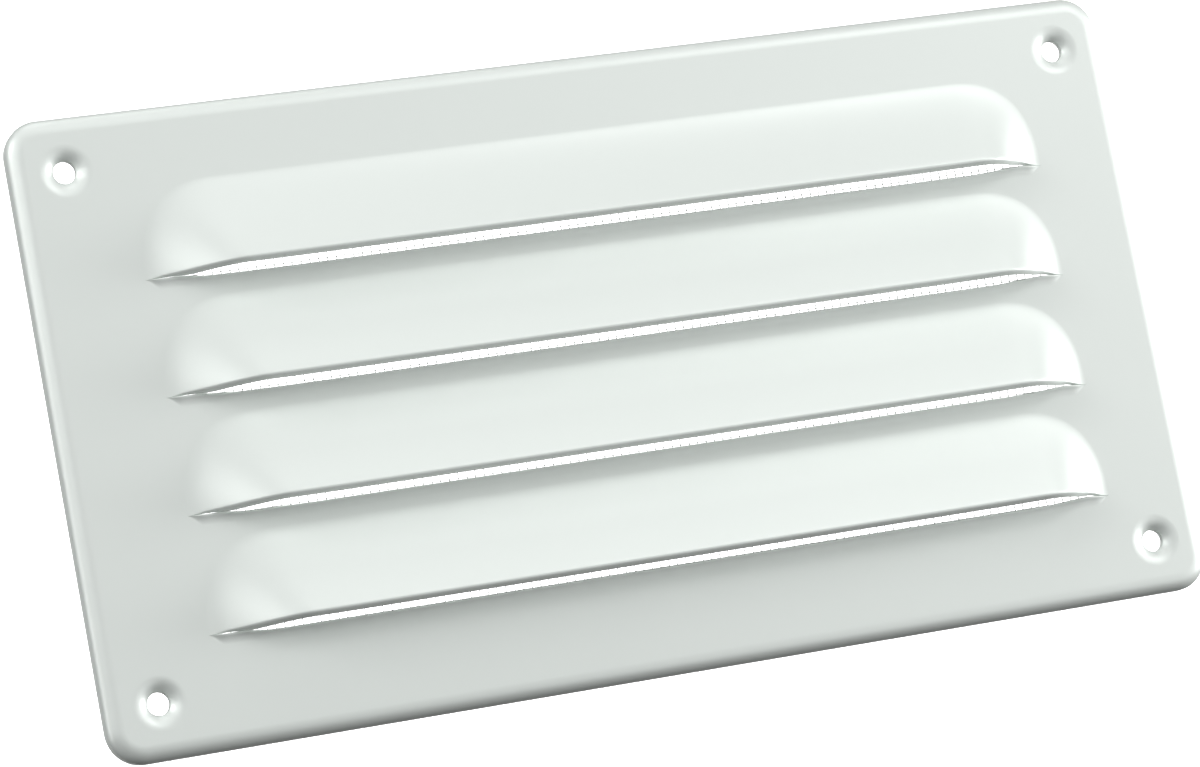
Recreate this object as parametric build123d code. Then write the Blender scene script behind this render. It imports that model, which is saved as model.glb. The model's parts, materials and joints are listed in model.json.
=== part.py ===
from build123d import *
import os

# A louvred roof vent cover: one sheet pressed into a shallow pan with four hoods, and the screen, bars, studs,
# nuts and foam tape held in the hollow of its back. Millimetres. The pan lies face up: +Z leaves the face, +X
# runs along the louvres, the louvres open towards -Y, and Z = 0 is the plane of the roof under the rim.

# Pressed sheet
plate_length = 235.0
plate_width = 127.0
plate_height = 4.5
sheet = 1.2
corner_radius = 7.0
edge_radius = 3.5

# Screw holes, each at the bottom of a soft dimple
hole_inset = 11.0
hole_diameter = 4.5
dimple_diameter = 11.0
dimple_depth = 1.45
dimple_bend = 1.3
dimple_flare_run = 0.8
dimple_flare_drop = 0.9

# Louvre hoods: each is raised from its hinge line down to a cut line, and closed at both ends
louvre_count = 4
louvre_pitch = 23.45
louvre_length = 193.0
louvre_depth = 19.0
louvre_rise = 7.0
louvre_row_offset = 3.43
louvre_side_offset = 1.7
hinge_bend = 2.3
hood_end_length = 16.5
hood_side_length = 2.5
cut_width = 0.15
lip_setback = 0.3
slot_setback = 0.8
slot_taper_length = 26.0

# Shape of a hood's curves, as shares of the length or depth that each curve covers
foot_run = 0.18
foot_rise = 0.5
crown_run = 0.45
incline_knee = 0.45

# Screen and the bars that clamp its edges
screen_thickness = 0.5
bar_width = 5.5
bar_thickness = 0.8
bar_corner_radius = 1.2
bar_margin = 0.4
bar_gap = 0.3

# Studs on the back of the sheet, and their nuts
stud_diameter = 2.0
stud_length = 2.7
stud_tip_chamfer = 0.3
flange_diameter = 3.2
stud_offset = 3.15
stud_end_inset = 6.0
stud_clearance = 0.3
nut_diameter = 5.2
nut_thickness = 0.3
nut_cone_diameter = 3.4
nut_cone_height = 0.45
nut_slot_width = 0.4
nut_slot_length = 4.0
nut_clearance = 0.05

# Foam tape between the dimples
foam_width = 4.8
dimple_clearance = 0.5

# Places that follow from the sizes above
back_z = plate_height - sheet
bar_top_z = back_z - screen_thickness
bar_bottom_z = bar_top_z - bar_thickness
hole_x = plate_length / 2 - hole_inset
hole_y = plate_width / 2 - hole_inset
dimple_radius = dimple_diameter / 2
half_louvre = louvre_length / 2
louvre_ends = {-1: louvre_side_offset - half_louvre, 1: louvre_side_offset + half_louvre}


def cut_line(index):
    """Y of a louvre's cut line, counted from the top of the plate."""
    middle = (louvre_count - 1) / 2
    return louvre_row_offset - louvre_depth / 2 + (middle - index) * louvre_pitch


cut_lines = [cut_line(index) for index in range(louvre_count)]
bar_inner_left = louvre_ends[-1] - bar_margin
bar_inner_right = louvre_ends[1] + bar_margin
bar_inner_top = cut_lines[0] + louvre_depth + bar_margin
bar_inner_bottom = cut_lines[-1] - slot_setback - bar_margin
screen_lap = stud_offset - flange_diameter / 2 - stud_clearance


def rounded_slab(length, width, height, plan_radius, top_radius):
    """Slab on Z = 0 with rounded plan corners and a rounded top edge."""
    slab = extrude(RectangleRounded(length, width, plan_radius), height)
    return fillet(slab.edges().group_by(Axis.Z)[-1], top_radius)


def make_pan():
    """Shallow pan of one even wall: the sheet before the louvres and dimples are pressed."""
    outer = rounded_slab(plate_length, plate_width, plate_height, corner_radius, edge_radius)
    inner = rounded_slab(
        plate_length - 2 * sheet, plate_width - 2 * sheet, back_z, corner_radius - sheet, edge_radius - sheet
    )
    return outer - inner


def outline_points(side):
    """Control points of the hood's rounded end in plan, from its side up to its hinge line.

    Each is (x, height above the cut line), and side is -1 for the left end or 1 for the right end.
    """
    reach = louvre_depth - hood_side_length
    inward = [0.0, foot_run * hood_end_length, crown_run * hood_end_length, hood_end_length]
    above = [0.0, foot_rise * reach, reach, reach]
    return [(louvre_ends[side] - side * i, hood_side_length + a) for i, a in zip(inward, above)]


def lip_points(side):
    """Control points of the lip over the same end, as (x, height above the cut line, rise above the face)."""
    inward = [hood_end_length * step / 3 for step in range(4)]
    above = [0.0, 0.0, lip_setback, lip_setback]
    rise = [0.0, 0.0, louvre_rise, louvre_rise]
    return [(louvre_ends[side] - side * i, a, r) for i, a, r in zip(inward, above, rise)]


def hood_row(outline, lip):
    """Four control points from the outline down to the lip: level at the hinge, then one straight incline."""
    bend = hinge_bend / louvre_depth
    knee_rise = 1 - (1 - incline_knee) / (1 - bend)
    shares = [(0.0, 0.0), (bend, 0.0), (incline_knee, knee_rise), (1.0, 1.0)]
    dx = lip[0] - outline[0]
    dy = lip[1] - outline[1]
    return [(outline[0] + s * dx, outline[1] + s * dy, z * lip[2]) for s, z in shares]


def hood_tile(rows, cut_y):
    """Sheet-thick piece of a hood under the Bezier surface of these rows of control points."""
    lift = [[(x, y + cut_y, z + plate_height) for x, y, z in row] for row in rows]
    return Solid.extrude(Face.make_bezier_surface(lift), Vector(0, 0, -sheet))


def make_hood(cut_y):
    """One louvre hood: two rounded ends and the straight length between them."""
    ends = {side: [hood_row(o, l) for o, l in zip(outline_points(side), lip_points(side))] for side in (-1, 1)}
    middle = [ends[-1][-1], ends[1][-1]]
    return [hood_tile(rows, cut_y) for rows in (ends[-1], middle, ends[1])]


def slot_points(side):
    """Control points of the plate's edge below the slot, from the end of the cut to its straight length."""
    inward = [slot_taper_length * step / 3 for step in range(4)]
    below = [cut_width, cut_width, slot_setback, slot_setback]
    return [(louvre_ends[side] - side * i, -b) for i, b in zip(inward, below)]


def make_hood_opening(cut_y):
    """Hole in the flat sheet that a hood rises from: the hood's outline, and the slot below its lip."""
    def place(points):
        return [(x, y + cut_y, 0.0) for x, y in points]

    left, right = place(outline_points(-1)), place(outline_points(1))
    slot_left, slot_right = place(slot_points(-1)), place(slot_points(1))
    edges = [
        Edge.make_bezier(*left),
        Edge.make_line(left[-1], right[-1]),
        Edge.make_bezier(*right),
        Edge.make_line(right[0], slot_right[0]),
        Edge.make_bezier(*slot_right),
        Edge.make_line(slot_right[-1], slot_left[-1]),
        Edge.make_bezier(*slot_left),
        Edge.make_line(slot_left[0], left[0]),
    ]
    return extrude(Face(Wire(edges)), plate_height + sheet, dir=(0, 0, 1))


def make_dimple():
    """Ring pressed in from the face around one screw hole, down to a slope where the hole is cut."""
    hole = hole_diameter / 2
    bottom = plate_height - dimple_depth
    face_bend = [
        (dimple_radius, 0, plate_height),
        (dimple_radius - dimple_bend, 0, plate_height),
        (hole + dimple_flare_run, 0, bottom + dimple_flare_drop),
        (hole, 0, bottom),
    ]
    back_bend = [(x, y, z - sheet) for x, y, z in reversed(face_bend)]
    edges = [
        Edge.make_bezier(*face_bend),
        Edge.make_line(face_bend[-1], back_bend[0]),
        Edge.make_bezier(*back_bend),
        Edge.make_line(back_bend[-1], face_bend[0]),
    ]
    return revolve(Face(Wire(edges)), Axis.Z, 360)


def make_louvre_plate():
    """The whole pressed sheet."""
    plate = make_pan()
    dimple = make_dimple()
    well = extrude(Circle(dimple_radius), plate_height + sheet)
    for x in (-hole_x, hole_x):
        for y in (-hole_y, hole_y):
            plate = plate - Pos(x, y, 0) * well + Pos(x, y, 0) * dimple
    for cut_y in cut_lines:
        plate = plate - make_hood_opening(cut_y)
        plate = plate + make_hood(cut_y)
    return plate


def slab_between(x, y, z):
    """Plain block between two limits along each axis."""
    size = [high - low for low, high in (x, y, z)]
    middle = [(low + high) / 2 for low, high in (x, y, z)]
    return Pos(*middle) * Box(*size)


def make_screen():
    """Closed sheet over the louvres, as thick as the woven screen."""
    return slab_between(
        (bar_inner_left - screen_lap, bar_inner_right + screen_lap),
        (bar_inner_bottom - screen_lap, bar_inner_top + screen_lap),
        (bar_top_z, back_z),
    )


def spread(low, high, count):
    """Evenly spaced values from low to high."""
    return [low + (high - low) * step / (count - 1) for step in range(count)]


# Bars: limits in plan, and the studs along each
long_bar_limit = hole_x - dimple_radius - dimple_clearance - bar_gap
long_bar_low = max(bar_inner_left - bar_width, -long_bar_limit)
long_bar_high = min(bar_inner_right + bar_width, long_bar_limit)
side_bar_low = bar_inner_bottom + bar_gap
side_bar_high = min(hole_y - dimple_radius - dimple_clearance, bar_inner_top - bar_gap)
bars = {
    "top": ((long_bar_low, long_bar_high), (bar_inner_top, bar_inner_top + bar_width)),
    "bottom": ((long_bar_low, long_bar_high), (bar_inner_bottom - bar_width, bar_inner_bottom)),
    "left": ((bar_inner_left - bar_width, bar_inner_left), (side_bar_low, side_bar_high)),
    "right": ((bar_inner_right, bar_inner_right + bar_width), (side_bar_low, side_bar_high)),
}
long_bar_studs = spread(long_bar_low + stud_end_inset, long_bar_high - stud_end_inset, 3)
side_bar_studs = spread(side_bar_low + stud_end_inset, side_bar_high - stud_end_inset, 2)
stud_places = {
    "top": [(x, bar_inner_top + stud_offset) for x in long_bar_studs],
    "bottom": [(x, bar_inner_bottom - stud_offset) for x in long_bar_studs],
    "left": [(bar_inner_left - stud_offset, y) for y in side_bar_studs],
    "right": [(bar_inner_right + stud_offset, y) for y in side_bar_studs],
}
all_studs = [place for places in stud_places.values() for place in places]


def make_bar(side):
    """Flat bar with rounded corners and a clearance hole for each of its studs."""
    (low_x, high_x), (low_y, high_y) = bars[side]
    blank = RectangleRounded(high_x - low_x, high_y - low_y, bar_corner_radius)
    bar = Pos((low_x + high_x) / 2, (low_y + high_y) / 2, bar_bottom_z) * extrude(blank, bar_thickness)
    hole = extrude(Circle(stud_diameter / 2 + stud_clearance), plate_height)
    for stud_x, stud_y in stud_places[side]:
        bar = bar - Pos(stud_x, stud_y, 0) * hole
    return bar


def turned(outline):
    """Solid turned about Z from its outline, given as (radius, height) corners."""
    corners = [(radius, 0, height) for radius, height in outline]
    return revolve(Face(Wire.make_polygon(corners, close=True)), Axis.Z, 360)


def make_stud():
    """Weld stud hanging from the back of the sheet: a flange as thick as the screen, and a chamfered pin."""
    pin = stud_diameter / 2
    tip_z = back_z - stud_length
    outline = [
        (0, back_z),
        (flange_diameter / 2, back_z),
        (flange_diameter / 2, bar_top_z),
        (pin, bar_top_z),
        (pin, tip_z + stud_tip_chamfer),
        (pin - stud_tip_chamfer, tip_z),
        (0, tip_z),
    ]
    return turned(outline)


def make_nut():
    """Push-on nut under a bar: a thin flange, and a slotted cone that grips the pin."""
    bore = stud_diameter / 2 + nut_clearance
    cone = nut_cone_diameter / 2
    flange_z = bar_bottom_z - nut_thickness
    outline = [
        (nut_diameter / 2, bar_bottom_z),
        (cone, bar_bottom_z),
        (bore, bar_bottom_z - nut_cone_height),
        (bore, flange_z - nut_cone_height),
        (cone, flange_z),
        (nut_diameter / 2, flange_z),
    ]
    slot = Box(nut_slot_length, nut_slot_width, plate_height)
    return turned(outline) - Pos(0, 0, flange_z) * slot - Pos(0, 0, flange_z) * Rot(0, 0, 90) * slot


def at_studs(shape):
    """One copy of a shape on every stud, as a group of separate solids."""
    return Compound(children=[Pos(x, y, 0) * shape for x, y in all_studs])


# Foam tape: limits in plan, along the start of the rim's bend and between the dimples
foam_outer_x = plate_length / 2 - edge_radius
foam_outer_y = plate_width / 2 - edge_radius
foam_half_long = hole_x - dimple_radius - dimple_clearance
foam_half_side = hole_y - dimple_radius - dimple_clearance
foam_strips = {
    "top": ((-foam_half_long, foam_half_long), (foam_outer_y - foam_width, foam_outer_y)),
    "bottom": ((-foam_half_long, foam_half_long), (-foam_outer_y, foam_width - foam_outer_y)),
    "left": ((-foam_outer_x, foam_width - foam_outer_x), (-foam_half_side, foam_half_side)),
    "right": ((foam_outer_x - foam_width, foam_outer_x), (-foam_half_side, foam_half_side)),
}


def make_foam_strip(side):
    """Strip of foam tape, squeezed to the depth of the pan."""
    x, y = foam_strips[side]
    return slab_between(x, y, (0, back_z))


nodes = {
    "louvre_plate": make_louvre_plate(),
    "insect_screen": make_screen(),
    "weld_studs": at_studs(make_stud()),
    "push_on_nuts": at_studs(make_nut()),
}
for side in ("top", "bottom", "left", "right"):
    nodes[f"screen_bar_{side}"] = make_bar(side)
    nodes[f"foam_strip_{side}"] = make_foam_strip(side)

os.makedirs("parts", exist_ok=True)
for name, shape in nodes.items():
    export_step(shape, f"parts/{name}.step")
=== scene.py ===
"""Roof vent cover: the finished surfaces of the pressed louvre plate and of what it holds behind it.

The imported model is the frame: every piece lies where its CAD node lies, in metres. The classes below keep
their sizes in millimetres, and one factor, MM, turns them into metres when a mesh is made.
"""
import json
import logging
import math
from dataclasses import dataclass, field
from enum import Enum

import bpy
import numpy as np
from mathutils import Matrix, Vector
from mathutils.geometry import delaunay_2d_cdt


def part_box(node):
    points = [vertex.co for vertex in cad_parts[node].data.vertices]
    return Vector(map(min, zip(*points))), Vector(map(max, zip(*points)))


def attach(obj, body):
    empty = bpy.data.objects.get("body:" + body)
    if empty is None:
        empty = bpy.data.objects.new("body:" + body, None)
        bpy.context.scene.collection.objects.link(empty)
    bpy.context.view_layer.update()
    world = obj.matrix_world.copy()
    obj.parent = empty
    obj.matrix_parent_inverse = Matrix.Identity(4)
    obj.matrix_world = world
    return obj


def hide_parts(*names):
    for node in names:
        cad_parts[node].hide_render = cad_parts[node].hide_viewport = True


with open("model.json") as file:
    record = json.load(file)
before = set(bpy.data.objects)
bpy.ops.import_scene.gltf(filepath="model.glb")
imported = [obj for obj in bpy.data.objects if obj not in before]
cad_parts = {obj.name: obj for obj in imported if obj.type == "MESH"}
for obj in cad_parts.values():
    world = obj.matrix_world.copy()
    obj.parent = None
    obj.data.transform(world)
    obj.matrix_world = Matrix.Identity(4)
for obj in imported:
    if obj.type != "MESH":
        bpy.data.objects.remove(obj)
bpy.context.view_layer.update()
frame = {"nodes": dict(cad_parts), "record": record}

MM = 0.001
WELD = 1e-4  # points closer than this, in millimetres, are one point
CROSSING_RADII = 4  # two yarns lie on each other where they cross
KEEP_INSIDE = 1  # the triangulation keeps what lies inside the outer loop
Tree = bpy.types.NodeTree
Socket = bpy.types.NodeSocket

log = logging.getLogger("roof_vent_cover")


# ---- Curves and meshes -----------------------------------


def bezier(controls: np.ndarray, t: np.ndarray) -> np.ndarray:
    """Cubic Bezier curve: the four control points weighed by (1-t)^3, 3t(1-t)^2, 3t^2(1-t) and t^3.

    Args:
        controls: four control points or values, as the first axis.
        t: places along the curve, from 0 to 1.

    Returns:
        One point or value for each place.
    """
    controls = np.asarray(controls, float)
    weights = np.stack([(1 - t) ** 3, 3 * t * (1 - t) ** 2, 3 * t**2 * (1 - t), t**3], axis=-1)
    return weights @ controls


def smooth_step(x: np.ndarray) -> np.ndarray:
    """Rise from 0 to 1 with level ends: 3x^2 - 2x^3, with x held between 0 and 1."""
    x = np.clip(x, 0.0, 1.0)
    return x * x * (3.0 - 2.0 * x)


def shares(count: int) -> np.ndarray:
    """Shares from 0 to 1, in this many steps."""
    return np.linspace(0.0, 1.0, count + 1)


def quarter(count: int) -> np.ndarray:
    """Angles of a quarter turn, from 0 to pi/2, in this many steps."""
    return np.linspace(0.0, math.pi / 2, count + 1)


def add_object(name: str, data: bpy.types.ID) -> bpy.types.Object:
    """Put a new object into the scene, at the origin."""
    made = bpy.data.objects.new(name, data)
    bpy.context.scene.collection.objects.link(made)
    return made


@dataclass
class Skin:
    """Patches of one surface, in millimetres, which are welded into one mesh.

    Points at a height in level take a normal straight up (1) or down (-1), so that flat faces shade flat.
    """

    points: list[np.ndarray] = field(default_factory=list)
    triangles: list[np.ndarray] = field(default_factory=list)
    level: dict[float, float] = field(default_factory=dict)

    def add(self, points: np.ndarray, triangles: np.ndarray) -> None:
        """Add a patch of triangles.

        Args:
            points: its corners, one row of x, y and z each.
            triangles: three rows of points for each triangle, counter-clockwise from outside.
        """
        start = sum(len(p) for p in self.points)
        self.points.append(np.asarray(points, float).reshape(-1, 3))
        self.triangles.append(np.asarray(triangles, int).reshape(-1, 3) + start)

    def add_grid(self, grid: np.ndarray, flip: bool = False) -> None:
        """Add a patch whose points are rows and columns, with two triangles in each cell.

        Args:
            grid: rows x columns x 3 points. Its outside is where rows x columns points.
            flip: turn the outside to the other side.
        """
        rows, columns = grid.shape[:2]
        index = np.arange(rows * columns).reshape(rows, columns)
        a, b = index[:-1, :-1].ravel(), index[1:, :-1].ravel()
        c, d = index[1:, 1:].ravel(), index[:-1, 1:].ravel()
        triangles = np.concatenate([np.stack([a, b, c], axis=1), np.stack([a, c, d], axis=1)])
        self.add(grid.reshape(-1, 3), triangles[:, ::-1] if flip else triangles)

    def build(self, name: str) -> bpy.types.Object:
        """Weld the patches and make the mesh object.

        Args:
            name: the piece's name.

        Returns:
            The object, at the origin, with its place in its mesh.
        """
        points = np.concatenate(self.points)
        keys = np.round(points / WELD).astype(np.int64)
        _, first, merged = np.unique(keys, axis=0, return_index=True, return_inverse=True)
        triangles = merged.ravel()[np.concatenate(self.triangles)]
        a, b, c = triangles.T
        triangles = triangles[(a != b) & (b != c) & (c != a)]
        mesh = bpy.data.meshes.new(name)
        mesh.vertices.add(len(first))
        mesh.vertices.foreach_set("co", (points[first] * MM).astype(np.float32).ravel())
        mesh.loops.add(triangles.size)
        mesh.loops.foreach_set("vertex_index", triangles.astype(np.int32).ravel())
        mesh.polygons.add(len(triangles))
        mesh.polygons.foreach_set("loop_start", np.arange(0, triangles.size, 3, dtype=np.int32))
        mesh.polygons.foreach_set("use_smooth", np.ones(len(triangles), bool))
        mesh.update(calc_edges=True)
        if self.level:
            normals = np.zeros((len(first), 3), np.float32)
            height = points[first][:, 2]
            for z, sign in self.level.items():
                normals[np.abs(height - z) < WELD, 2] = sign
            mesh.normals_split_custom_set_from_vertices(normals)
        return add_object(name, mesh)


# ---- Colours and materials -------------------------------


def linear(code: str) -> tuple[float, float, float, float]:
    """Linear colour of an sRGB hex code.

    Each channel c becomes ((c + 0.055) / 1.055)^2.4, or c / 12.92 when it is dark.

    Args:
        code: six hex digits after a hash.

    Returns:
        Red, green, blue and alpha.
    """
    channels = [int(code[i : i + 2], 16) / 255 for i in (1, 3, 5)]
    red, green, blue = (c / 12.92 if c <= 0.04045 else ((c + 0.055) / 1.055) ** 2.4 for c in channels)
    return red, green, blue, 1.0


def add_node(tree: Tree, kind: str, inputs: dict | None = None, **settings) -> bpy.types.Node:
    """Add one node to a tree.

    Args:
        tree: the material's or world's node tree.
        kind: the node's type.
        inputs: its sockets by name or number, each a value or another node's output.
        settings: the node's own settings.

    Returns:
        The node.
    """
    made = tree.nodes.new(kind)
    for key, value in settings.items():
        setattr(made, key, value)
    for key, value in (inputs or {}).items():
        if isinstance(value, Socket):
            tree.links.new(value, made.inputs[key])
        else:
            made.inputs[key].default_value = value
    return made


def ramp(tree: Tree, value: Socket, low: float, high: float) -> Socket:
    """Carry a pattern's 0 to 1 over to low to high."""
    inputs = {"Value": value, "To Min": low, "To Max": high}
    return add_node(tree, "ShaderNodeMapRange", inputs).outputs["Result"]


def noise(tree: Tree, place: Socket, size_mm: float, detail: float = 2.0) -> Socket:
    """Noise from 0 to 1, with spots of about this size."""
    inputs = {"Vector": place, "Scale": 1 / (size_mm * MM), "Detail": detail}
    return add_node(tree, "ShaderNodeTexNoise", inputs).outputs["Fac"]


def relief(tree: Tree, height: Socket, depth_mm: float, strength: float = 1.0) -> Socket:
    """Normals of a surface that a 0 to 1 pattern raises by this depth."""
    inputs = {"Height": height, "Distance": depth_mm * MM, "Strength": strength}
    return add_node(tree, "ShaderNodeBump", inputs).outputs["Normal"]


def between(tree: Tree, share: Socket, first: tuple[float, ...], second: tuple[float, ...]) -> Socket:
    """Colour between two linear colours. Sockets 6 and 7 of a mix node, and its output 2, are its colours."""
    inputs = {"Factor": share, 6: first, 7: second}
    return add_node(tree, "ShaderNodeMix", inputs, data_type="RGBA").outputs[2]


def principled(tree: Tree, inputs: dict) -> Socket:
    """Principled shader with these inputs."""
    return add_node(tree, "ShaderNodeBsdfPrincipled", inputs).outputs["BSDF"]


@dataclass(frozen=True)
class Finish:
    """What every finish has: a name, and a principled shader that reads object coordinates."""

    name: str

    def material(self) -> bpy.types.Material:
        """Make the material, with its pattern and its shader joined up.

        Returns:
            The material.
        """
        made = bpy.data.materials.new(self.name)
        made.use_nodes = True
        tree = made.node_tree
        tree.nodes.clear()
        place = add_node(tree, "ShaderNodeTexCoord").outputs["Object"]
        add_node(tree, "ShaderNodeOutputMaterial", {"Surface": self.shader(tree, place)})
        return made

    def shader(self, tree: Tree, place: Socket) -> Socket:
        """Add the finish's own nodes.

        Args:
            tree: the material's node tree.
            place: the object coordinates.

        Returns:
            The finished shader.
        """
        raise NotImplementedError


@dataclass(frozen=True)
class PowderCoat(Finish):
    """Polyester powder coat on aluminium: even satin white, with the faint orange peel of melted powder."""

    colour: str = "#e9efeb"
    tint: str = "#e7ede9"
    roughness: tuple[float, float] = (0.42, 0.48)
    metallic: float = 0.3
    ior: float = 1.5
    peel_mm: float = 1.6
    peel_detail: float = 1.5
    peel_depth_mm: float = 0.006
    drift_mm: float = 45.0

    def shader(self, tree: Tree, place: Socket) -> Socket:
        """Slow drift between two whites and in the gloss, and peel in the bump. See Finish.shader."""
        drift = noise(tree, place, self.drift_mm)
        peel = noise(tree, place, self.peel_mm, self.peel_detail)
        return principled(
            tree,
            {
                "Base Color": between(tree, drift, linear(self.colour), linear(self.tint)),
                "Metallic": self.metallic,
                "Roughness": ramp(tree, drift, *self.roughness),
                "Normal": relief(tree, peel, self.peel_depth_mm),
                "IOR": self.ior,
            },
        )


@dataclass(frozen=True)
class VinylYarn(Finish):
    """White vinyl-coated glass yarn: matt, and it lets some light through."""

    colour: str = "#f2f4f2"
    roughness: tuple[float, float] = (0.45, 0.65)
    scatter: float = 0.6
    scatter_radius_mm: float = 0.4
    slub_mm: float = 0.9

    def shader(self, tree: Tree, place: Socket) -> Socket:
        """Roughness that varies along the yarn, over a body that scatters light inside. See Finish.shader."""
        return principled(
            tree,
            {
                "Base Color": linear(self.colour),
                "Roughness": ramp(tree, noise(tree, place, self.slub_mm), *self.roughness),
                "Subsurface Weight": self.scatter,
                "Subsurface Radius": (self.scatter_radius_mm,) * 3,
                "Subsurface Scale": MM,
            },
        )


@dataclass(frozen=True)
class DrawnMetal(Finish):
    """Bare metal with fine drawing lines along one axis, which stretch its highlights across the lines."""

    colour: str = "#cfd1d2"
    roughness: tuple[float, float] = (0.24, 0.46)
    line_mm: tuple[float, float, float] = (40.0, 0.12, 0.12)
    line_detail: float = 3.0
    line_depth_mm: float = 0.004

    def shader(self, tree: Tree, place: Socket) -> Socket:
        """Noise squeezed across the drawing direction: lines in the bump and the gloss. See Finish.shader."""
        scale = tuple(1 / (size * MM) for size in self.line_mm)
        stretched = add_node(tree, "ShaderNodeMapping", {"Vector": place, "Scale": scale}).outputs[0]
        inputs = {"Vector": stretched, "Scale": 1.0, "Detail": self.line_detail}
        lines = add_node(tree, "ShaderNodeTexNoise", inputs).outputs["Fac"]
        return principled(
            tree,
            {
                "Base Color": linear(self.colour),
                "Metallic": 1.0,
                "Roughness": ramp(tree, lines, *self.roughness),
                "Normal": relief(tree, lines, self.line_depth_mm),
            },
        )


@dataclass(frozen=True)
class FoamRubber(Finish):
    """Closed-cell rubber foam: matt, near black, with a skin of small cells."""

    colour: str = "#2b2c2e"
    cell_lightness: float = 1.7
    roughness: float = 0.9
    cell_mm: float = 0.55
    cell_depth_mm: float = 0.08
    cell_strength: float = 0.8

    def shader(self, tree: Tree, place: Socket) -> Socket:
        """Cells from a Voronoi pattern, lighter away from their middles. See Finish.shader."""
        inputs = {"Vector": place, "Scale": 1 / (self.cell_mm * MM)}
        cells = add_node(tree, "ShaderNodeTexVoronoi", inputs).outputs["Distance"]
        dark = linear(self.colour)
        light = tuple(self.cell_lightness * c for c in dark[:3]) + (1.0,)
        return principled(
            tree,
            {
                "Base Color": between(tree, cells, dark, light),
                "Roughness": self.roughness,
                "Normal": relief(tree, cells, self.cell_depth_mm, self.cell_strength),
            },
        )


@dataclass(frozen=True)
class StudioPaper(Finish):
    """Matt white paper under the object."""

    colour: str = "#fafafa"
    roughness: tuple[float, float] = (0.85, 0.95)
    grain_mm: float = 30.0

    def shader(self, tree: Tree, place: Socket) -> Socket:
        """Even white with a faint unevenness in its roughness. See Finish.shader."""
        rough = ramp(tree, noise(tree, place, self.grain_mm), *self.roughness)
        return principled(tree, {"Base Color": linear(self.colour), "Roughness": rough})


class Material(Enum):
    """The finishes of this object, by what they are."""

    POWDER_COAT = PowderCoat("satin_white_powder_coat")
    SCREEN_YARN = VinylYarn("white_vinyl_yarn")
    BAR_ALONG_X = DrawnMetal("mill_aluminium_along_x")
    BAR_ALONG_Y = DrawnMetal("mill_aluminium_along_y", line_mm=(0.12, 40.0, 0.12))
    STUD = DrawnMetal("drawn_aluminium_stud", line_mm=(0.12, 0.12, 4.0))
    SPRING_STEEL = DrawnMetal(
        "zinc_plated_spring_steel", colour="#b9b7ae", roughness=(0.2, 0.42), line_mm=(0.5, 0.5, 0.5)
    )
    FOAM = FoamRubber("black_foam_tape")
    PAPER = StudioPaper("studio_paper")


def dress(piece: bpy.types.Object, finish: Material) -> None:
    """Give a piece one finish all over.

    Args:
        piece: the piece. Its own materials are taken off.
        finish: what it gets. Pieces of one finish share one material.
    """
    made = bpy.data.materials.get(finish.value.name) or finish.value.material()
    piece.data.materials.clear()
    piece.data.materials.append(made)


# ---- The pressed plate -----------------------------------


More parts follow.
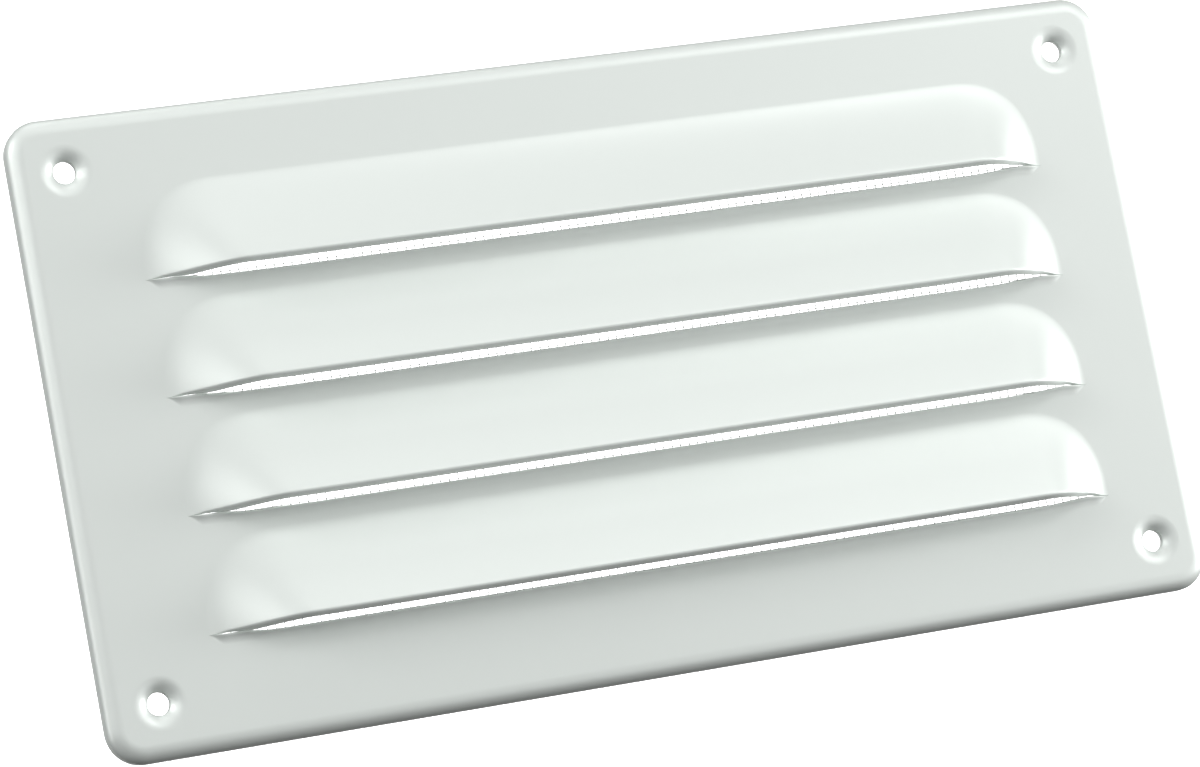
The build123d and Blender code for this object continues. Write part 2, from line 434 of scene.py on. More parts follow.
@dataclass
class Hood:
    """One louvre hood, and the slot below its lip, about its own cut line.

    Across the hood every column is a straight line in plan, from the outline O to the lip L. The surface
    along it is O + w (L - O), with a height of rise(L) times the incline at w. The sheet below is a copy one
    thickness down. A run is four control points along X, as shares of a length.
    """

    # The cut and the hood over it.
    length: float = 193.0
    side_offset: float = 1.7
    depth: float = 19.0
    rise: float = 7.0
    # The hinge's bend as a share of the way across, in the middle and round the ends, and the incline's next
    # control point.
    hinge_share: float = 0.12
    end_hinge_share: float = 0.2
    end_hinge_run: float = 20.0
    incline_knee: float = 0.45
    # The outline's rounded ends.
    end_length: float = 16.5
    side_length: float = 2.5
    outline_run: tuple[float, ...] = (0.0, 0.02, 0.28, 1.0)
    outline_rise: tuple[float, ...] = (0.0, 0.5, 1.0, 1.0)
    # The lip, which rises over each end and stands back a little from the cut line, towards the hinge.
    left_lip_length: float = 20.0
    left_lip_run: tuple[float, ...] = (0.0, 0.25, 0.7, 1.0)
    right_lip_length: float = 17.0
    right_lip_run: tuple[float, ...] = (0.0, 0.35, 0.47, 1.0)
    lip_setback: float = 0.75
    # The lean of the lip's sheared edge, near the tips and in the middle.
    tip_lean: float = 0.8
    left_lean_start: float = 3.0
    right_lean_start: float = 2.3
    tip_lean_run: float = 6.5
    middle_lean: float = 0.2
    middle_lean_run: float = 30.0
    # The cut's fall towards its right end.
    right_sag: float = 0.6
    sag_run: float = 6.0
    # The slot: how it opens from each end.
    cut_width: float = 0.04
    slot_setback: float = 0.8
    slot_taper_length: float = 26.0
    left_share: float = 0.55
    left_opening_start: float = 6.0
    left_opening: float = 7.0
    right_opening: float = 18.0
    # The sheet that the press drags up beside the slot.
    drag_width: float = 2.2
    drag_lift: float = 0.55
    drag_run: float = 3.0
    tip_lift: float = 0.62
    tip_length: float = 7.0
    tip_fade: float = 5.0
    # Rounded edges, and how much of the sheared edge its upper and lower curves take.
    lip_round: float = 0.5
    slot_round: float = 0.25
    burr_round: float = 0.2
    round_taper: float = 4.0
    upper_share: float = 0.6
    lower_share: float = 0.2
    # Steps of the mesh. A power over 1 crowds the steps at the start.
    end_steps: int = 30
    end_crowding: float = 1.3
    middle_steps: int = 32
    depth_steps: int = 26
    depth_crowding: float = 1.15
    drag_steps: int = 6
    round_steps: int = 8
    curve_steps: int = 400

    def incline(self, w: np.ndarray, x: np.ndarray) -> np.ndarray:
        """Share of the rise at w: a cubic that leaves the hinge level and then runs straight to the lip.

        The bend takes a small share of the way across in the middle, and a larger one round the ends.

        Args:
            w: rows x columns of places, from 0 at the hinge to 1 at the lip.
            x: each column's x.

        Returns:
            Rows x columns of shares.
        """
        grown = smooth_step(self.from_end(x) / self.end_hinge_run)
        bends = self.end_hinge_share + (self.hinge_share - self.end_hinge_share) * grown
        t = shares(self.curve_steps)
        height = np.empty_like(w)
        for column, bend in enumerate(bends):
            knee_rise = 1.0 - (1.0 - self.incline_knee) / (1.0 - bend)
            way = bezier((0.0, bend, self.incline_knee, 1.0), t)
            height[:, column] = np.interp(w[:, column], way, bezier((0.0, 0.0, knee_rise, 1.0), t))
        return height

    def both_ends(self, left: np.ndarray, right: np.ndarray) -> np.ndarray:
        """Join a left end, a straight middle and the mirror of a right end into one row of columns.

        Args:
            left: columns from the cut's left end inwards, with x first.
            right: columns from the cut's right end inwards, drawn as a left end.

        Returns:
            All the columns, from left to right.
        """
        right = right[::-1] * np.array([-1.0] + [1.0] * (right.shape[1] - 1))
        share = shares(self.middle_steps)[1:-1, None]
        return np.concatenate([left, left[-1] + share * (right[0] - left[-1]), right])

    def lip_end(self, length: float, run: tuple[float, ...], u: np.ndarray) -> np.ndarray:
        """One end of the lip, whose y and rise grow as 3u^2 - 2u^3.

        Args:
            length: how long the end is.
            run: control points along X.
            u: places along the end, from 0 at the tip to 1.

        Returns:
            Rows of x, y and rise, from the cut's end inwards.
        """
        eased = smooth_step(u)
        x = length * bezier(run, u) - self.length / 2
        return np.stack([x, self.lip_setback * eased, self.rise * eased], axis=1)

    def columns(self) -> tuple[np.ndarray, np.ndarray]:
        """Outline and lip of every column, from left to right.

        Returns:
            The outline as (x, y), and the lip as (x, y, rise), with y from the cut line.
        """
        u = shares(self.end_steps)
        reach = self.depth - self.side_length
        x = self.end_length * bezier(self.outline_run, u) - self.length / 2
        outline = np.stack([x, self.side_length + reach * bezier(self.outline_rise, u)], axis=1)
        left = self.lip_end(self.left_lip_length, self.left_lip_run, u)
        right = self.lip_end(self.right_lip_length, self.right_lip_run, u)
        lips = self.both_ends(left, right)
        lips[:, 1] -= self.sag(lips[:, 0])
        return self.both_ends(outline, outline), lips

    def sag(self, x: np.ndarray) -> np.ndarray:
        """How far the cut has fallen at x: all of it at the right end, and nothing from a little way in."""
        return self.right_sag * (1.0 - smooth_step((self.length / 2 - x) / self.sag_run))

    def slot(self) -> np.ndarray:
        """Edge of the plate below the slot, from left to right.

        The edge's lift and its strip are nothing at the cut's ends. The lift is greatest near them, where the
        hood draws the sheet up.

        Returns:
            One row for each column: x, y from the cut line, lift, and width of the strip that is dragged up.
        """
        u = shares(self.end_steps)
        half = self.length / 2
        left = (self.slot_taper_length * u**self.end_crowding - half)[:, None]
        x = self.both_ends(left, left)[:, 0]
        from_left, from_right = x + half, half - x
        near = np.minimum(from_left, from_right)
        opened = self.left_share * smooth_step((from_left - self.left_opening_start) / self.left_opening)
        opened += (1.0 - self.left_share) * smooth_step(from_left / self.slot_taper_length)
        opened *= smooth_step(from_right / self.right_opening)
        y = -self.cut_width - (self.slot_setback - self.cut_width) * opened - self.sag(x)
        grown = smooth_step(near / self.drag_run)
        at_tip = 1.0 - smooth_step((near - self.tip_length) / self.tip_fade)
        lift = grown * (self.drag_lift + (self.tip_lift - self.drag_lift) * at_tip)
        return np.stack([x, y, lift, grown * self.drag_width], axis=1)

    def rounding(self, x: np.ndarray, radius: float) -> np.ndarray:
        """Radius of an edge at x: nothing at the cut's ends, and all of it a few millimetres in."""
        return radius * smooth_step(self.from_end(x) / self.round_taper)

    def surface(self, cut_y: float, face_z: float, sheet: float) -> np.ndarray:
        """The hood's whole skin, from its outline over the lip and back underneath to the outline.

        The sheared edge leans: its lower corner stands out further than its upper one. A curve that starts
        along the incline and ends along the edge rounds the upper corner, and a smaller one the lower corner.

        Args:
            cut_y: the cut line's y.
            face_z: height of the plate's face.
            sheet: thickness of the sheet.

        Returns:
            Rows x columns x 3 points.
        """
        outline, lip = self.columns()
        x = lip[:, 0]
        under_lip = lip.copy()
        under_lip[:, 1] -= self.lean(x)
        along = shares(self.depth_steps)[:, None] ** self.depth_crowding
        sides, corners = [], []
        edges = (lip, self.lip_round, face_z), (under_lip, self.burr_round, face_z - sheet)
        for edge, radius, base in edges:
            span = np.linalg.norm(edge[:, :2] - outline, axis=1)
            sides.append(self.lift(outline, edge, along * (1 - self.rounding(x, radius) / span), base))
            corners.append(self.lift(outline, edge, np.ones((1, len(x))), base)[0])
        grown = self.rounding(x, 1.0)[:, None]
        fall = corners[1] - corners[0]
        t = shares(self.round_steps)[:, None, None]
        upper = self.turn(sides[0][-1], corners[0], corners[0] + self.upper_share * grown * fall, t)
        lower = self.turn(corners[1] - self.lower_share * grown * fall, corners[1], sides[1][-1], t)
        skin = np.concatenate([sides[0], upper[1:], lower[:-1], sides[1][::-1]])
        return skin + np.array([self.side_offset, cut_y, 0.0])

    def lean(self, x: np.ndarray) -> np.ndarray:
        """How far the edge's lower corner stands out: it grows quickly near the ends, then slowly.

        Args:
            x: each column's x.

        Returns:
            Each column's lean.
        """
        half = self.length / 2
        quick = smooth_step((half + x - self.left_lean_start) / self.tip_lean_run)
        quick = quick * smooth_step((half - x - self.right_lean_start) / self.tip_lean_run)
        return self.tip_lean * quick + self.middle_lean * smooth_step(self.from_end(x) / self.middle_lean_run)

    def from_end(self, x: np.ndarray) -> np.ndarray:
        """Distance along X to the nearer end of the cut."""
        return self.length / 2 - np.abs(x)

    @staticmethod
    def turn(start: np.ndarray, corner: np.ndarray, end: np.ndarray, t: np.ndarray) -> np.ndarray:
        """Rounded corner: (1-t)^2 start + 2t(1-t) corner + t^2 end."""
        return (1 - t) ** 2 * start + 2 * t * (1 - t) * corner + t**2 * end

    def lift(self, outline: np.ndarray, lip: np.ndarray, w: np.ndarray, base: float) -> np.ndarray:
        """Points along each column: straight in plan, and the incline's height above the base.

        Args:
            outline: each column's x and y at the hinge.
            lip: each column's x, y and rise at the lip.
            w: rows x columns of places, from 0 at the hinge to 1 at the lip.
            base: height of the flat sheet.

        Returns:
            Rows x columns x 3 points.
        """
        plan = outline[None] + w[..., None] * (lip[None, :, :2] - outline[None])
        height = base + lip[None, :, 2] * self.incline(w, lip[:, 0])
        return np.concatenate([plan, height[..., None]], axis=-1)

    def slot_edge(self, cut_y: float, face_z: float, sheet: float) -> np.ndarray:
        """Edge of the plate below the slot: the dragged strip, the rounded edge, and the strip's back.

        The strip rises as lift x q^2, with q from 0 at its outer side to 1 at the edge.

        Args:
            cut_y: the cut line's y.
            face_z: height of the plate's face.
            sheet: thickness of the sheet.

        Returns:
            Rows x columns x 3 points.
        """
        x, y, lift, width = self.slot().T
        turn = quarter(self.round_steps)[:, None]
        q = shares(self.drag_steps)[:-1, None]
        halves = []
        sides = (self.slot_round, face_z, 1), (self.burr_round, face_z - sheet, -1)
        for radius, level, way in sides:
            r = self.rounding(x, radius)
            strip = np.stack([x + 0 * q, y - width + q * (width - r), level + lift * q**2], axis=-1)
            edge = [x + 0 * turn, y - r * (1 - np.sin(turn)), level + lift - way * r * (1 - np.cos(turn))]
            halves.append(np.concatenate([strip, np.stack(edge, axis=-1)]))
        return np.concatenate([halves[0], halves[1][::-1]]) + np.array([self.side_offset, cut_y, 0.0])


@dataclass
class Dimple:
    """Soft dimple pressed in from the face, with a screw hole at its bottom.

    Its bend is level at first, and it comes down to the hole as a flare with this run and drop.
    """

    diameter: float = 11.0
    depth: float = 1.45
    bend: float = 1.3
    flare_run: float = 0.8
    flare_drop: float = 0.9
    around: int = 64
    bend_steps: int = 16

    def surface(
        self, centre: tuple[float, float], hole_radius: float, face_z: float, sheet: float
    ) -> np.ndarray:
        """The dimple's skin: one profile, from the face through the hole to the back, turned about its axis.

        The face's profile is a cubic that leaves the face level and meets the hole on a slope. The back is a
        copy one thickness down.

        Args:
            centre: the hole's x and y.
            hole_radius: radius of the screw hole.
            face_z: height of the plate's face.
            sheet: thickness of the sheet.

        Returns:
            Rows x columns x 3 points, the last column on the first.
        """
        outer, bottom = self.diameter / 2, face_z - self.depth
        foot = (hole_radius + self.flare_run, bottom + self.flare_drop)
        t = shares(self.bend_steps)
        top = bezier([(outer, face_z), (outer - self.bend, face_z), foot, (hole_radius, bottom)], t)
        under = top - np.array([0.0, sheet])
        profile = np.concatenate([top, under[::-1]])
        angle = np.linspace(0.0, 2 * math.pi, self.around + 1)
        angle[-1] = 0.0
        radius, height = profile[:, :1], profile[:, 1:] + 0 * angle
        x, y = centre[0] + radius * np.cos(angle), centre[1] + radius * np.sin(angle)
        return np.stack([x, y, height], axis=-1)


@dataclass
class PressedPlate:
    """The louvre plate, one closed skin: a rim turned down all round, a flat web, hoods and dimples."""

    length: float
    width: float
    screw_holes: list[tuple[float, float]]
    hole_radius: float
    sheet: float = 1.2
    face_z: float = 4.5
    corner_radius: float = 7.0
    edge_run: float = 3.5
    edge_drop: float = 2.4
    burr_round: float = 0.35
    louvre_count: int = 4
    louvre_pitch: float = 23.45
    louvre_row_offset: float = 3.43
    hood: Hood = field(default_factory=Hood)
    dimple: Dimple = field(default_factory=Dimple)
    corner_steps: int = 14
    edge_spacing: float = 5.0
    web_spacing: float = 5.0
    web_gap: float = 1.6667
    rim_steps: int = 14
    burr_steps: int = 4

    def cut_lines(self) -> list[float]:
        """Y of each louvre's cut line, from the top of the plate."""
        middle = (self.louvre_count - 1) / 2
        first = self.louvre_row_offset - self.hood.depth / 2
        return [first + (middle - index) * self.louvre_pitch for index in range(self.louvre_count)]

    def path(self) -> tuple[np.ndarray, np.ndarray]:
        """Rounded rectangle once round.

        A point at an inset d lies at centre + (corner radius - d) x direction, so all insets share columns.

        Returns:
            The centre that each point turns about, and its outward direction.
        """
        half_x, half_y = self.length / 2 - self.corner_radius, self.width / 2 - self.corner_radius
        corners = [(half_x, half_y), (-half_x, half_y), (-half_x, -half_y), (half_x, -half_y)]
        centres, angles = [], []
        for number, corner in enumerate(corners):
            start = number * math.pi / 2
            turn = np.linspace(start, start + math.pi / 2, self.corner_steps + 1)
            following = np.array(corners[(number + 1) % len(corners)])
            run = np.linalg.norm(following - corner)
            share = shares(int(run / self.edge_spacing))[1:-1, None]
            centres += [np.tile(corner, (len(turn), 1)), corner + share * (following - corner)]
            angles += [turn, np.full(len(share), turn[-1])]
        angle = np.concatenate(angles)
        return np.concatenate(centres), np.stack([np.cos(angle), np.sin(angle)], axis=1)

    def rim(self) -> np.ndarray:
        """The rim's skin: one profile of inset and height, carried round the path.

        The profile goes from the face over a quarter ellipse down to the roof plane, round the sheet's edge,
        and up inside along a quarter ellipse about the same centre.

        Returns:
            Rows x columns x 3 points, the last column on the first.
        """
        run, drop = self.edge_run, self.edge_drop
        centre_z = self.face_z - drop
        turn, small = quarter(self.rim_steps), quarter(self.burr_steps)
        b = self.burr_round
        inner_run, inner_drop = run - self.sheet, drop - self.sheet
        profile = np.concatenate(
            [
                np.stack([run * (1 - np.sin(turn)), centre_z + drop * np.cos(turn)], axis=1),
                np.stack([b * (1 - np.cos(small)), b * (1 - np.sin(small))], axis=1),
                np.stack([self.sheet - b * (1 - np.sin(small)), b * (1 - np.cos(small))], axis=1),
                np.stack([run - inner_run * np.cos(turn), centre_z + inner_drop * np.sin(turn)], axis=1),
            ]
        )
        centres, outward = self.path()
        plan = centres[None] + (self.corner_radius - profile[:, :1, None]) * outward[None]
        height = np.broadcast_to(profile[:, 1:], plan.shape[:2])
        grid = np.concatenate([plan, height[..., None]], axis=-1)
        return np.concatenate([grid, grid[:, :1]], axis=1)

    def web(self, skin: Skin, loops: list[tuple[np.ndarray, np.ndarray]]) -> None:
        """Fill the flat web between the loops, on the face and on the back, with one set of triangles.

        Points are spread over it on a grid, but for those that lie too near a loop.

        Args:
            skin: takes the triangles.
            loops: each closed loop's plan on the face and on the back. A point belongs to the web when a ray
                from it crosses the loops an odd number of times.
        """
        top, back = (np.concatenate([loop[side] for loop in loops]) for side in (0, 1))
        starts = np.cumsum([0] + [len(loop[0]) for loop in loops])
        ring = np.arange(len(top))
        following = ring + 1
        following[starts[1:] - 1] = starts[:-1]
        x = np.arange(-self.length / 2, self.length / 2, self.web_spacing)
        y = np.arange(-self.width / 2, self.width / 2, self.web_spacing)
        spread = np.stack(np.meshgrid(x, y), axis=-1).reshape(-1, 2)
        gap = np.linalg.norm(spread[:, None] - top[None], axis=-1).min(axis=1)
        spread = spread[(gap > self.web_gap) & self.inside(spread, top, top[following])]
        plan = np.concatenate([top, spread])
        edges = np.stack([ring, following], axis=1).tolist()
        found = delaunay_2d_cdt([Vector(p) for p in plan], edges, [], KEEP_INSIDE, WELD)
        triangles = np.array(found[2])
        if len(found[0]) != len(plan):
            raise ValueError("the web's loops touch")
        centre = plan[triangles].mean(axis=1)
        triangles = triangles[self.inside(centre, top, top[following])]
        height = np.full(len(plan), self.face_z)
        skin.add(np.column_stack([plan, height]), triangles)
        skin.add(np.column_stack([np.concatenate([back, spread]), height - self.sheet]), triangles[:, ::-1])

    @staticmethod
    def inside(points: np.ndarray, start: np.ndarray, end: np.ndarray) -> np.ndarray:
        """Whether each point lies inside an odd number of loops, by the edges crossed on the way to +X.

        Args:
            points: rows of x and y.
            start: where each edge of the loops starts.
            end: where it ends.

        Returns:
            True for each point that lies inside.
        """
        px, py = points[:, :1], points[:, 1:]
        spans = (start[:, 1] > py) != (end[:, 1] > py)
        rise = np.where(end[:, 1] == start[:, 1], 1.0, end[:, 1] - start[:, 1])
        crossing = start[:, 0] + (py - start[:, 1]) * (end[:, 0] - start[:, 0]) / rise
        return (spans & (px < crossing)).sum(axis=1) % 2 == 1

    def hood_loop(self, skin_grid: np.ndarray, slot_grid: np.ndarray) -> tuple[np.ndarray, np.ndarray]:
        """Plan of the web's edge round one hood: up its left side, along its outline, back along the slot.

        Args:
            skin_grid: the hood's skin.
            slot_grid: the slot's edge.

        Returns:
            The loop on the face and on the back.
        """
        steps = self.hood.depth_steps
        left, right = skin_grid[steps:0:-1, 0, :2], skin_grid[1 : steps + 1, -1, :2]
        outline = skin_grid[0, :, :2]
        top = np.concatenate([left, outline, right, slot_grid[0, ::-1, :2]])
        back = np.concatenate([left, outline, right, slot_grid[-1, ::-1, :2]])
        return top, back

    def build(self) -> bpy.types.Object:
        """Make the whole plate, dressed in its powder coat.

        Returns:
            The plate.
        """
        skin = Skin(level={self.face_z: 1.0, self.face_z - self.sheet: -1.0})
        rim = self.rim()
        skin.add_grid(rim)
        loops = [(rim[0, :-1, :2], rim[-1, :-1, :2])]
        for cut_y in self.cut_lines():
            hood = self.hood.surface(cut_y, self.face_z, self.sheet)
            slot = self.hood.slot_edge(cut_y, self.face_z, self.sheet)
            skin.add_grid(hood)
            skin.add_grid(slot, flip=True)
            lip_rows = [self.hood.depth_steps, hood.shape[0] - 1 - self.hood.depth_steps]
            for column in (0, -1):
                wall = np.stack([hood[lip_rows, column], slot[[0, -1], column]], axis=1)
                skin.add_grid(wall, flip=column == 0)
            loops.append(self.hood_loop(hood, slot))
        for hole in self.screw_holes:
            ring = self.dimple.surface(hole, self.hole_radius, self.face_z, self.sheet)
            skin.add_grid(ring, flip=True)
            loops.append((ring[0, :-1, :2], ring[-1, :-1, :2]))
        self.web(skin, loops)
        plate = skin.build("pressed_plate")
        dress(plate, Material.POWDER_COAT)
        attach(plate, "root")
        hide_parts("louvre_plate")
        return plate


# ---- What the plate holds behind it ----------------------


@dataclass
class WovenScreen:
    """Plain-woven insect screen: yarns along X and along Y that pass over and under each other."""

    low: Vector
    high: Vector
    pitch: float = 1.82
    phase_y: float = 0.0
    sides: int = 4

    def yarns(self, start: float, end: float, across: np.ndarray, first: float, over: float) -> np.ndarray:
        """Square-section tubes along one direction, waving by one yarn radius.

        The centreline's height is radius x cos(pi s / pitch), with the sign turned on every other yarn. Where
        two yarns cross, their four radii make the screen's thickness.

        Args:
            start: where the yarns begin.
            end: where they end.
            across: place of each yarn in the other direction.
            first: place of the first crossing yarn.
            over: 1 if the first yarn starts above, or -1.

        Returns:
            Yarns x steps x sides x 3 points: along, across and up.
        """
        radius = (self.high.z - self.low.z) / MM / CROSSING_RADII
        count = int((end - first) / self.pitch)
        inner = first + np.arange(0, 2 * count + 1) * self.pitch / 2
        along = np.concatenate([[start], inner, [end]])
        sign = over * (-1.0) ** np.arange(len(across))
        wave = radius * np.cos(math.pi * (along - first) / self.pitch)[None] * sign[:, None]
        angle = np.linspace(0.0, 2 * math.pi, self.sides + 1)[:-1] + math.pi / self.sides
        ring = np.stack([0 * angle, radius * np.cos(angle), radius * np.sin(angle)], axis=-1)
        middle = np.stack(np.broadcast_arrays(along[None], across[:, None], wave), axis=-1)
        return middle[:, :, None] + ring[None, None]

    def add_yarns(self, skin: Skin, tubes: np.ndarray, flip: bool) -> None:
        """Add every tube with its two end caps.

        Args:
            skin: takes the triangles.
            tubes: yarns x steps x sides x 3 points.
            flip: turn the outside to the other side.
        """
        count, steps, sides = tubes.shape[:3]
        start = np.arange(count)[:, None, None] * steps * sides
        row = np.arange(steps - 1)[None, :, None] * sides
        side = np.arange(sides)[None, None, :]
        following = (side + 1) % sides
        a, b = start + row + side, start + row + following
        c, d = b + sides, a + sides
        walls = [np.stack(corners, axis=-1).reshape(-1, 3) for corners in ((a, c, b), (a, d, c))]
        fan = np.array([[0, k, k + 1] for k in range(1, sides - 1)])
        near = (start.reshape(-1, 1, 1) + fan[None]).reshape(-1, 3)
        far = (start.reshape(-1, 1, 1) + (steps - 1) * sides + fan[None, :, ::-1]).reshape(-1, 3)
        triangles = np.concatenate([*walls, near, far])
        skin.add(tubes.reshape(-1, 3), triangles if flip else triangles[:, ::-1])

    def build(self) -> bpy.types.Object:
        """Make the screen, dressed as white yarn.

        Returns:
            The screen.
        """
        (x0, y0, z0), (x1, y1, z1) = (np.array(corner) / MM for corner in (self.low, self.high))
        margin = self.pitch / 2
        x = x0 + margin + np.arange(int((x1 - x0 - 2 * margin) / self.pitch) + 1) * self.pitch
        first_y = y0 + margin + (self.phase_y - y0 - margin) % self.pitch
        y = first_y + np.arange(int((y1 - margin - first_y) / self.pitch) + 1) * self.pitch
        middle = np.array([0.0, 0.0, (z0 + z1) / 2])
        skin = Skin()
        self.add_yarns(skin, self.yarns(x0, x1, y, x[0], 1.0) + middle, flip=False)
        upright = self.yarns(y0, y1, x, y[0], -1.0)[..., [1, 0, 2]]
        self.add_yarns(skin, upright + middle, flip=True)
        screen = skin.build("woven_screen")
        dress(screen, Material.SCREEN_YARN)
        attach(screen, "root")
        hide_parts("insect_screen")
        return screen


@dataclass
class FoamStrip:
    """Strip of foam tape: a block whose free sides bulge where it is squeezed between sheet and roof."""

    side: str
    bulge: float = 0.35
    round: float = 0.5
    side_steps: int = 10
    round_steps: int = 4

    def outline(self, half_x: float, half_y: float, inset: float) -> np.ndarray:
        """Rectangle in plan with rounded corners.

        Args:
            half_x: half its length.
            half_y: half its width.
            inset: how far its sides are pulled in.

        Returns:
            Rows of x and y.
        """
        r = self.round
        x, y = half_x - r, half_y - r
        places = []
        for number, corner in enumerate([(x, y), (-x, y), (-x, -y), (x, -y)]):
            turn = number * math.pi / 2 + quarter(self.round_steps)[:, None]
            arc = np.array(corner) + (r - inset) * np.concatenate([np.cos(turn), np.sin(turn)], axis=1)
            places.append(arc)
        return np.concatenate(places)

    def build(self) -> bpy.types.Object:
        """Make the strip in the place of its node.

        At height h, from 0 to 1, its sides stand in by bulge x (2h - 1)^2.

        Returns:
            The strip.
        """
        low, high = (np.array(corner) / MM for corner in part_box(f"foam_strip_{self.side}"))
        half, centre = (high - low) / 2, (high + low) / 2
        h = shares(self.side_steps)
        rows = []
        for share in h:
            ring = self.outline(half[0], half[1], self.bulge * (2 * share - 1) ** 2)
            rows.append(np.column_stack([ring, np.full(len(ring), (share - 0.5) * 2 * half[2])]))
        wall = np.stack(rows)
        wall = np.concatenate([wall, wall[:, :1]], axis=1)
        skin = Skin()
        skin.add_grid(wall + centre, flip=True)
        for row, flip in ((0, False), (-1, True)):
            hub = np.zeros_like(wall[row]) + np.array([0.0, 0.0, wall[row, 0, 2]])
            skin.add_grid(np.stack([wall[row], hub]) + centre, flip=flip)
        strip = skin.build(f"foam_tape_{self.side}")
        dress(strip, Material.FOAM)
        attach(strip, "root")
        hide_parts(f"foam_strip_{self.side}")
        return strip


@dataclass
class ScreenFixings:
    """The bars, studs and nuts that hold the screen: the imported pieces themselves, in their finishes."""

    finishes: dict[str, Material] = field(
        default_factory=lambda: {
            "screen_bar_top": Material.BAR_ALONG_X,
            "screen_bar_bottom": Material.BAR_ALONG_X,
            "screen_bar_left": Material.BAR_ALONG_Y,
            "screen_bar_right": Material.BAR_ALONG_Y,
            "weld_studs": Material.STUD,
            "push_on_nuts": Material.SPRING_STEEL,
        }
    )

    def build(self) -> list[bpy.types.Object]:
        """Dress each piece.

        Returns:
            The pieces.
        """
        made = [frame["nodes"][node] for node in self.finishes]
        for piece, finish in zip(made, self.finishes.values()):
            dress(piece, finish)
        return made


# ---- Studio ----------------------------------------------


@dataclass(frozen=True)
class SoftBox:
    """One soft light, in metres: where it stands, what it faces, its size and its power in watts."""

    name: str
    place: tuple[float, float, float]
    width: float
    height: float
    power: float
    aim: tuple[float, float, float] = (0.0, 0.0, 0.0)

    def build(self) -> bpy.types.Object:
        """Make the light and turn it to what it faces.

        Returns:
            The light.
        """
        data = bpy.data.lights.new(self.name, "AREA")
        data.shape = "RECTANGLE"
        data.size, data.size_y, data.energy = self.width, self.height, self.power
        made = add_object(self.name, data)
        made.location = self.place
        made.rotation_mode = "QUATERNION"
        made.rotation_quaternion = (Vector(self.place) - Vector(self.aim)).to_track_quat("Z", "Y")
        return made


@dataclass
class Studio:
    """Plain pale floor well below the object, and soft light from above, both sides and behind."""

    floor_z: float = -2.5
    floor_half: float = 9.0
    ambient: float = 0.03
    lights: tuple[SoftBox, ...] = (
        SoftBox("left_low", (-0.891, 0.0, 0.125), 0.38, 0.23, 0.9),
        SoftBox("left_back", (-1.058, 0.611, 0.445), 0.55, 0.35, 6.0),
        SoftBox("left_back_high", (-0.724, 0.418, 0.996), 0.5, 0.5, 2.7),
        SoftBox("back_left", (-0.674, 1.168, 0.658), 0.75, 0.45, 1.2),
        SoftBox("back", (0.0, 1.359, 0.634), 0.75, 0.45, 1.6),
        SoftBox("back_high", (0.0, 0.836, 0.996), 0.5, 0.5, 1.1),
        SoftBox("back_low", (0.0, 1.485, 0.209), 0.75, 0.3, 2.55),
        SoftBox("key", (0.672, 0.672, 0.887), 0.5, 0.5, 3.55),
        SoftBox("right", (1.348, 0.0, 0.658), 0.75, 0.45, 4.5),
        SoftBox("right_low", (1.182, 0.0, 0.208), 0.5, 0.3, 9.3),
        SoftBox("right_high", (0.836, 0.0, 0.996), 0.5, 0.5, 0.7),
        SoftBox("overhead", (0.0, 0.0, 1.6), 0.6, 0.6, 1.75),
        SoftBox("front_right", (0.591, -0.591, 0.996), 0.5, 0.5, 1.4),
        SoftBox("floor_wash", (0.75, 0.3, -1.4), 0.9, 0.7, 60.0, aim=(0.95, 0.38, -2.5)),
    )

    def build(self) -> None:
        """Make the floor, the lights and the even ambient light."""
        half, z = self.floor_half, self.floor_z
        mesh = bpy.data.meshes.new("floor")
        corners = [(x * half, y * half, z) for x, y in ((-1, -1), (1, -1), (1, 1), (-1, 1))]
        mesh.from_pydata(corners, [], [(0, 1, 2, 3)])
        floor = add_object("floor", mesh)
        dress(floor, Material.PAPER)
        for light in self.lights:
            light.build()
        world = bpy.data.worlds.new("studio")
        world.use_nodes = True
        sky = world.node_tree.nodes["Background"].inputs
        sky["Color"].default_value = (1.0, 1.0, 1.0, 1.0)
        sky["Strength"].default_value = self.ambient
        bpy.context.scene.world = world
        bpy.context.scene.view_settings.view_transform = "Standard"


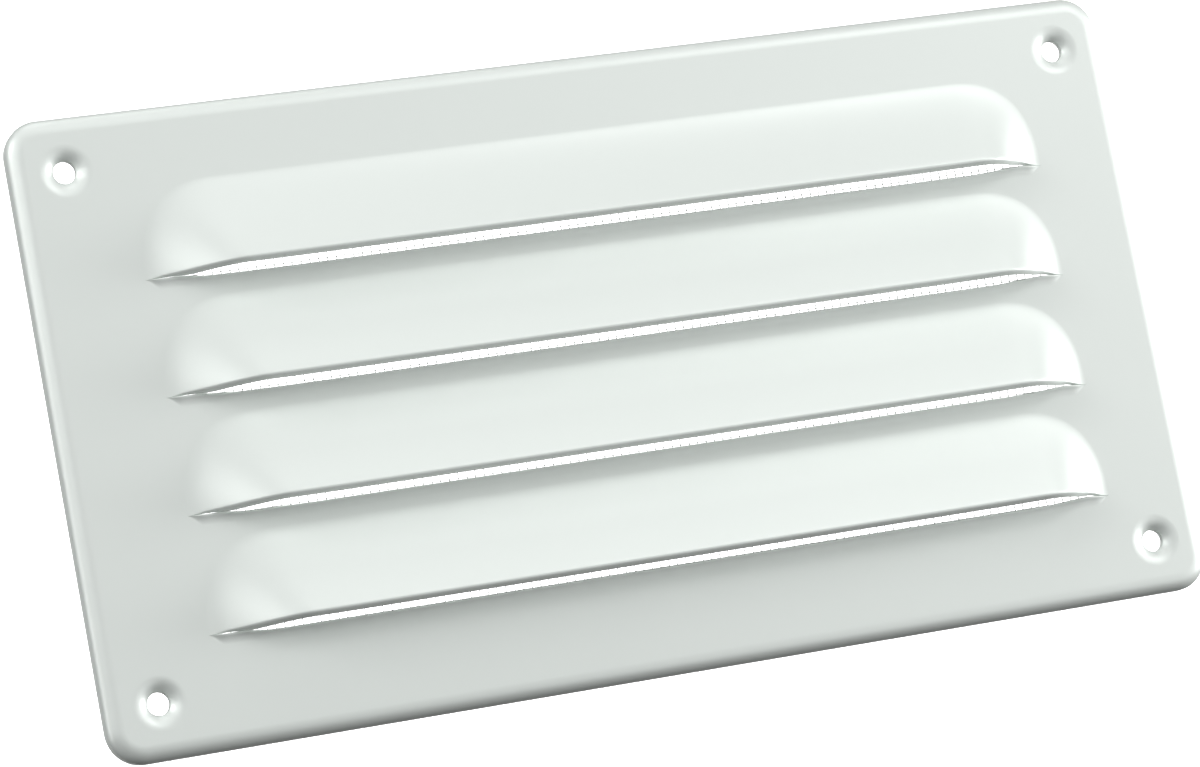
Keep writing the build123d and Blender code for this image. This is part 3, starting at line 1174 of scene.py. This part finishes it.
@dataclass
class ProductCamera:
    """Long-lens camera high over the lower left of the face. Its place is in millimetres.

    Its own axes are right, up and back, which points away from the object.
    """

    place: tuple[float, float, float] = (-305.8, -119.8, 844.2)
    back: tuple[float, float, float] = (-0.3327, -0.1292, 0.9342)
    up: tuple[float, float, float] = (0.135, 0.9739, 0.1827)
    lens: float = 135.0
    sensor: float = 36.0
    nearest: float = 0.01
    furthest: float = 50.0

    def build(self) -> bpy.types.Object:
        """Make the camera and set it as the scene's.

        Returns:
            The camera.
        """
        data = bpy.data.cameras.new("product_camera")
        data.lens, data.sensor_width = self.lens, self.sensor
        data.clip_start, data.clip_end = self.nearest, self.furthest
        made = add_object("product_camera", data)
        back = Vector(self.back).normalized()
        right = Vector(self.up).cross(back).normalized()
        turned = Matrix((right, back.cross(right), back)).transposed()
        made.matrix_world = Matrix.Translation(Vector(self.place) * MM) @ turned.to_4x4()
        bpy.context.scene.camera = made
        return made


# ---- The whole scene -------------------------------------


def plate_from_frame() -> PressedPlate:
    """The plate with its outer size from its node, and its screw holes from the record's bolt pattern.

    Returns:
        The plate, not yet built.
    """
    low, high = (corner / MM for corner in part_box("louvre_plate"))
    pattern = next(m for m in frame["record"]["mounts"] if m["name"] == "screw_holes")
    half_x, half_y = pattern["dims"]["spacing_x_mm"] / 2, pattern["dims"]["spacing_y_mm"] / 2
    holes = [(x, y) for x in (-half_x, half_x) for y in (-half_y, half_y)]
    return PressedPlate(
        length=high.x - low.x,
        width=high.y - low.y,
        screw_holes=holes,
        hole_radius=pattern["dims"]["hole_r_mm"],
    )


def main() -> None:
    """Build every piece in order, then the studio and the camera."""
    logging.basicConfig(level=logging.INFO, format="%(message)s")
    made = [plate_from_frame().build()]
    made.append(WovenScreen(*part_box("insect_screen")).build())
    made += ScreenFixings().build()
    made += [FoamStrip(side).build() for side in ("top", "bottom", "left", "right")]
    for piece in made:
        log.info("%s: %d faces", piece.name, len(piece.data.polygons))
    Studio().build()
    ProductCamera().build()


if __name__ == "__main__":
    main()
